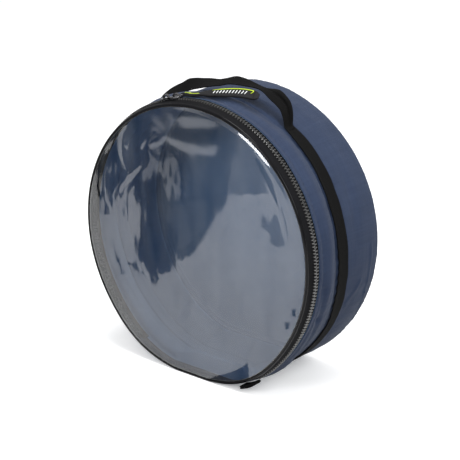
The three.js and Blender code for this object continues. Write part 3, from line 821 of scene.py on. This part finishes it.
def piping():
    made = bead("piping_bead", PIPING_RADIUS, PIPING_Y, PIPING_BEAD, gloss_black, "black_piping")
    bead("window_edge", FILM_RADIUS, FILM_Y - EDGE_BEAD, EDGE_BEAD, edge_painted_highlight, "clear_film")
    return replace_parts(made, "front_piping")


def tape(name, node, y, inner):
    end = ZIP_END + TAPE_TUCK
    angle = np.linspace(-end, end, 299)[:, None]
    rings = strip_rings(angle, y, inner, TAPE_THICK, 0.1 * np.sin(angle * ARC / 5.5))
    made = sweep(name, rings, tape_black, closed=False, slot="zip_tape")
    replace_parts(made, node)
    return made


def tapes():
    y = np.linspace(TAPE_FRONT - 2.0, CHAIN_Y + 0.2, 9)
    inner = np.interp(y, (TAPE_FRONT, CHAIN_Y - 3), (TAPE_FRONT_INNER, TAPE_INNER))
    tape("zip_tape_front_cloth", "zip_tape_front", y, inner)
    y = np.linspace(CHAIN_Y + 0.3, GUSSET_FRONT + 4, 8)
    tape("zip_tape_rear_cloth", "zip_tape_rear", y, np.full(8, TAPE_INNER - 0.4))


def tooth_shape():
    """One moulded tooth: along the zip, across it from its root, and outwards."""
    work = bmesh.new()
    bmesh.ops.create_cube(work, size=1)
    bmesh.ops.bevel(work, geom=work.edges[:], offset=0.17, segments=2, affect="EDGES", profile=0.5)
    points, faces = shape_of(work)
    points = points + (0, 0.5, 0.5)
    narrow = 1 - 0.12 * points[:, 1]
    points[:, 0] *= narrow * TOOTH_WIDTH
    points[:, 2] *= 1 - 0.1 * points[:, 1]
    points[:, 1] *= TOOTH_LENGTH
    points[:, 2] *= CHAIN_TOP - CHAIN_BASE
    return points, faces


def teeth(name, node, start, end):
    points, faces = tooth_shape()
    count = int((end - start) * ARC / TOOTH_PITCH)
    sets = []
    for index in range(2 * count):
        side = -1 if index % 2 else 1
        middle = start + (index + 0.5) * (end - start) / (2 * count)
        angle = middle + points[:, 0] / ARC
        y = CHAIN_Y + side * (TOOTH_LENGTH - TOOTH_OVERLAP - points[:, 1])
        radius = (CHAIN_BASE + points[:, 2]) * draped_radius(middle, CHAIN_Y) / DRUM_RADIUS
        sets.append(place(angle, radius, y))
    made = copies(name, sets, faces, teeth_black, slot="zip_teeth", sharp=35)
    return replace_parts(made, node)


def handle_rise(angle):
    """Lift of the handle at an angle, and its roll in radians."""
    lift = eased(HANDLE, "angle", angle, "lift", 1.6)
    return lift, np.radians(eased(HANDLE, "angle", angle, "roll", 3))


def strap_point(angle, across, up):
    """Points of the webbing at an angle, so far across it and above its middle layer."""
    middle, half = strap_edges(angle)
    across = across * half / (STRAP_WIDTH / 2)
    lift, roll = handle_rise(angle)
    core = DRUM_RADIUS + GAP + STRAP_THICK / 2
    lying = (core + up) * draped_radius(angle, middle + across) / DRUM_RADIUS
    ground = core * draped_radius(angle, middle) / DRUM_RADIUS
    free = smooth(lift / 4)
    raised = ground + lift + across * np.sin(roll) + up * np.cos(roll)
    radius = lying + free * (raised - lying)
    y = middle + across + free * (across * (np.cos(roll) - 1) - up * np.sin(roll))
    return place(angle, radius, y)


def strap():
    angle = np.arange(0, 360, 0.5)[:, None] - 180
    across, up = strip_profile(STRAP_WIDTH, STRAP_THICK, 17)
    # Both edges wander, the front one has short waves low on the right, and the handle's right leg
    # has a groove and a ridge along it.
    edge = 0.35 * np.sin(angle / 2.1 + np.sin(angle / 5.0)) * across / (STRAP_WIDTH / 2)
    edge = edge + 1.1 * bell((angle - 100) / 18) * np.sin(angle * 1.5) * np.clip(-across / 10, 0, 1)
    leg = smooth((angle - 15) / 8) * smooth((34 - angle) / 3)
    groove = -2.2 * leg * bell((across - 2.5) / 1.7) + 0.9 * leg * bell((across - 6.5) / 2.5)
    wave = smooth(handle_rise(angle)[0] / 6) * 0.5 * np.sin(angle / 2.7)
    rings = strap_point(angle, across + edge, up + groove + wave)
    made = sweep("webbing_strap", rings, webbing, slot="webbing")
    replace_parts(made, "strap")
    return made


def tacks():
    """Rows of black thread across the webbing where the handle leaves the wall."""
    points, faces = stitch_shape(TACK_LENGTH, TACK_THICK)
    sets = []
    for middle in TACK_ANGLES:
        for step in np.linspace(-TACK_REACH, TACK_REACH, TACK_COUNT):
            here, there = (strap_point(middle + turn, step, 0.9) for turn in (-TACK_TURN, TACK_TURN))
            at = (here + there) / 2
            sets.append(at + points @ axes_along(there - here, at - (0, step, CENTRE_HEIGHT)))
    copies("handle_tack_thread", sets, faces, black_thread, slot="webbing")


def seam_thread():
    angle = np.linspace(-180, 180, 1441)
    y = np.full_like(angle, STITCH_Y)
    path = draped(angle, DRUM_RADIUS + 0.15, y, wall_relief(angle, y))
    outward = path - (0, 1, 0) * path - (0, 0, CENTRE_HEIGHT)
    sizes = (STITCH_LENGTH, STITCH_PITCH, STITCH_THICK)
    stitches("gusset_seam_thread", path, outward, *sizes, navy_thread, slot="navy_cloth")


def end_tab():
    steps = np.linspace(0, 1, 60)
    rows = np.linspace(0, 1, len(END_TAB_PATH["angle"]))
    table = {"at": rows, **END_TAB_PATH}
    angle = eased(table, "at", steps, "angle", 0.04)
    lift = eased(table, "at", steps, "lift", 0.04)
    ground = (CHAIN_TOP - GAP) * draped_radius(angle, END_TAB_Y) / DRUM_RADIUS
    middle = place(angle, ground + lift, END_TAB_Y)
    out = np.cross(unit(np.gradient(middle, axis=0)), (0, 1, 0))
    across, up = strip_profile(END_TAB_WIDTH, END_TAB_LAYER, 9)
    rings = middle[:, None] + up[None, :, None] * out[:, None]
    rings[..., 1] += across
    made = sweep("end_tongue", rings, webbing, closed=False, slot="webbing")
    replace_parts(made, "zip_end_tab")
    return made


def sliders():
    for node in ("zip_slider_left", "zip_slider_right"):
        body = frame["nodes"][node]
        body.data.materials.clear()
        body.data.materials.append(metal_painted_dark)
        rounding = body.modifiers.new("rounding", "BEVEL")
        rounding.width = 0.35 * MM
        rounding.segments = 3
        rounding.limit_method = "ANGLE"
        rounding.harden_normals = True


# The pull


def link_axes():
    across = Vector((0, 0, 1)).cross(LINK_HEADING).normalized()
    return np.array([LINK_HEADING, across, LINK_HEADING.cross(across)])


def pull_wire(hinge):
    turn = np.radians(np.arange(0, 360, 7.5))
    corner = np.stack([np.cos(turn), np.sin(turn)], axis=-1)
    half = np.array([LINK_LENGTH, LINK_WIDTH]) / 2 - LINK_CORNER
    line = corner * LINK_CORNER + np.sign(np.round(corner, 6)) * half
    spin = np.radians(np.arange(0, 360, 30))[None, :]
    flat = line[:, None] + LINK_WIRE * np.cos(spin)[..., None] * corner[:, None]
    height = np.broadcast_to(LINK_WIRE * np.sin(spin), flat.shape[:2])
    rings = np.concatenate([flat, height[..., None]], axis=-1) + (LINK_LENGTH / 2, 0, 0)
    made = sweep("pull_wire", hinge + rings @ link_axes(), metal_painted_dark, slot="chrome_metal", body="pull")
    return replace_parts(made, "zip_pull_link")


def tab_line(hinge):
    """The pull's middle line, evenly spaced, and the ways across and up at each place."""
    ends = [LINK_LENGTH - NECK_END, LINK_LENGTH + NECK_STRAIGHT]
    knots = [hinge + np.array(LINK_HEADING) * along for along in ends]
    knots += [np.array(row) + (0, 0, CENTRE_HEIGHT) for row in TAB_SPINE]
    knots = np.array([2 * knots[0] - knots[1], *knots, 2 * knots[-1] - knots[-2]])
    line = []
    for a, b, c, d in zip(knots, knots[1:], knots[2:], knots[3:]):
        t = np.linspace(0, 1, 40, endpoint=False)[:, None]
        bend = (2 * a - 5 * b + 4 * c - d) * t**2 + (3 * b - a - 3 * c + d) * t**3
        line.append((2 * b + (c - a) * t + bend) / 2)
    line = np.concatenate([*line, knots[-2:-1]])
    along = lengths(line)
    at = np.linspace(0, 1, 141)
    line = between(at * along[-1], along, line)
    ahead = unit(np.gradient(line, axis=0))
    level = unit(np.cross((0, 0, 1), ahead))
    roll = np.radians(eased(TAB_SECTIONS, "at", at, "roll", 0.04))[:, None]
    across = level * np.cos(roll) + np.cross(ahead, level) * np.sin(roll)
    return at, line, across, np.cross(ahead, across)


def tab_size(at):
    """Width and thickness of the pull at shares of its length."""
    return [eased(TAB_SECTIONS, "at", at, column, 0.02) for column in ("width", "thickness")]


def tab_point(tab, at, across, up):
    """Points on the pull: a share of its length, a share of its half width, and above its face."""
    shares, line, sides, ups = tab
    width, thick = tab_size(at)
    middle, side, out = (between(at, shares, rows) for rows in (line, sides, ups))
    return middle + side * (across * width / 2)[..., None] + out * (up + thick / 2)[..., None]


def pull_grip(tab):
    at, line, side, out = tab
    width, thick = (size[:, None] for size in tab_size(at))
    across, up = strip_profile(2.0, 0.4, 25)
    top = (up > 0.15)[None, :]
    tray = smooth((at - TRAY_FROM) / 0.03) * smooth((TRAY_TO - at) / 0.02)
    dish = -TRAY_DEPTH * tray[:, None] * smooth((0.8 - np.abs(across[None, :])) / 0.08) * top
    reach = across[None, :] * width / 2
    height = up[None, :] / 0.4 * thick + dish
    rings = line[:, None] + side[:, None] * reach[..., None] + out[:, None] * height[..., None]
    made = sweep("pull_grip", rings, rubber, closed=False, slot="pull_rubber", body="pull")
    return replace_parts(made, "zip_pull_tab")


def raised_line(name, tab, at, across, thick, look):
    """A round bead moulded on the pull's face along shares of its length and half width."""
    path = tab_point(tab, at, across, np.full_like(at, -TRIM_SINK))
    out = between(at, tab[0], tab[3])
    side = np.cross(unit(np.gradient(path, axis=0)), out)
    turn = np.radians(np.arange(0, 360, 36))[None, :, None]
    along = np.linspace(0, 1, len(at))
    taper = np.minimum(1, 6 * np.minimum(along, along[::-1]) + 0.3)
    reach = thick / 2 * taper[:, None, None]
    rings = path[:, None] + reach * (np.cos(turn) * side[:, None] + np.sin(turn) * out[:, None])
    return sweep(name, rings, look, closed=False, slot="pull_rubber", body="pull")


def pull_trim(tab):
    """A lime line along the back edge that turns at the tip, two short ones at the neck, and ribs."""
    bend = np.linspace(0, 1, 60)
    tip = smooth((bend - 0.8) / 0.2)
    at = 0.4 + 0.52 * np.sin(bend * math.pi * 0.56) - 0.02 * tip
    raised_line("pull_line_back", tab, at, 0.72 - 0.62 * tip, 1.2, lime)
    step = np.linspace(0, 1, 20)
    raised_line("pull_line_neck_1", tab, 0.03 + 0.1 * step, 0.5 + 0.2 * step, TRIM_THICK, lime)
    raised_line("pull_line_neck_2", tab, 0.1 + 0.15 * step, -0.3 - 0.05 * step, TRIM_THICK, lime)
    rise = np.linspace(0, 1, 9)
    for number, start in enumerate(np.linspace(RIB_FROM, RIB_TO, RIB_COUNT)):
        name = f"pull_rib_{number + 1}"
        raised_line(name, tab, start + 0.02 * rise, -0.3 + 0.7 * rise, TRIM_THICK, pale)


# The stage


def panel(name, corners, shade, glow=0.0):
    """A flat matt sheet of the stage, with a light of its own where it glows."""
    mesh = bpy.data.meshes.new(name)
    mesh.from_pydata(corners, [], [list(range(len(corners)))])
    look = Look(name, Roughness=0.9, Specular_IOR_Level=0.0, Emission_Strength=glow)
    look.set(look.shader, {"Base_Color": (shade, shade, shade, 1), "Emission_Color": GLOW_COLOUR})
    mesh.materials.append(look.material)
    made = bpy.data.objects.new(name, mesh)
    scene.collection.objects.link(made)
    return made


def mirrored(across, up, height):
    """The place at a height that the flat window mirrors to the camera at a place on it."""
    eye = scene.camera.location / MM
    start = Vector((across, FILM_Y - LIP_FALL, up + CENTRE_HEIGHT))
    ahead = start - eye
    ahead.y = -ahead.y
    return (start + ahead * ((height - start.z) / ahead.z)) * MM


def hide(made, *rays):
    for ray in rays:
        setattr(made, "visible_" + ray, False)


def lamp(row, kind):
    made = bpy.data.objects.new(row.name, bpy.data.lights.new(row.name, kind))
    scene.collection.objects.link(made)
    made.data.energy = row.power
    made.location = row.place
    made.visible_glossy = row.reflected
    return made


def soft_light(row):
    made = lamp(row, "AREA")
    made.data.shape = "DISK"
    made.data.size = row.size
    made.rotation_mode = "QUATERNION"
    made.rotation_quaternion = (Vector(LAMP_AIM) - Vector(row.place)).to_track_quat("-Z", "Y")


def inside_light(row):
    """A small lamp in the bag, as its coated cloth would otherwise look black behind the window."""
    made = lamp(row, "POINT")
    made.data.shadow_soft_size = row.size
    hide(made, "camera", "transmission")


def stage():
    far, under = 9.0, -0.002
    corners = [(-far, -far), (far, -far), (far, far), (-far, far)]
    floor = panel("floor", [(x, y, 0) for x, y in corners], FLOOR_SHADE, FLOOR_GLOW)
    hide(floor, "diffuse", "shadow")
    bounce = panel("bounce_floor", [(x, y, under) for x, y in corners], BOUNCE_SHADE)
    hide(bounce, "camera", "glossy")
    for number, (name, (glow, outline)) in enumerate(CARDS.items()):
        height = CARD_HEIGHT + CARD_STEP * number
        card = panel(name, [mirrored(*spot, height) for spot in outline], CARD_SHADE, glow)
        hide(card, "camera", "shadow", "diffuse")
    sky()
    for row in LAMPS:
        soft_light(row)
    inside_light(INSIDE_LAMP)


def sky():
    """White all round, brighter overhead than along the horizon."""
    world = bpy.data.worlds.new("studio")
    world.use_nodes = True
    nodes, links = world.node_tree.nodes, world.node_tree.links
    heading = nodes.new("ShaderNodeTexCoord").outputs["Generated"]
    split = nodes.new("ShaderNodeSeparateXYZ")
    level = nodes.new("ShaderNodeMapRange")
    level.inputs["To Min"].default_value = SKY_HORIZON
    level.inputs["To Max"].default_value = SKY_TOP
    links.new(heading, split.inputs["Vector"])
    links.new(split.outputs["Z"], level.inputs["Value"])
    links.new(level.outputs["Result"], nodes["Background"].inputs["Strength"])
    nodes["Background"].inputs["Color"].default_value = (1.0, 1.0, 1.0, 1)
    scene.world = world


add_camera()
stage()
gusset()
back_panel()
hinge_strip()
window()
piping()
tapes()
teeth("zip_teeth_left", "zip_chain_left", -ZIP_END, SLIDER_MEETING - SLIDER_SPREAD)
teeth("zip_teeth_right", "zip_chain_right", SLIDER_MEETING + SLIDER_SPREAD, ZIP_END)
sliders()
strap()
tacks()
seam_thread()
end_tab()
hinge_at = np.array(frame["joints"][0]["pos_m"]) / MM
pull_wire(hinge_at)
pull_line = tab_line(hinge_at)
pull_grip(pull_line)
pull_trim(pull_line)
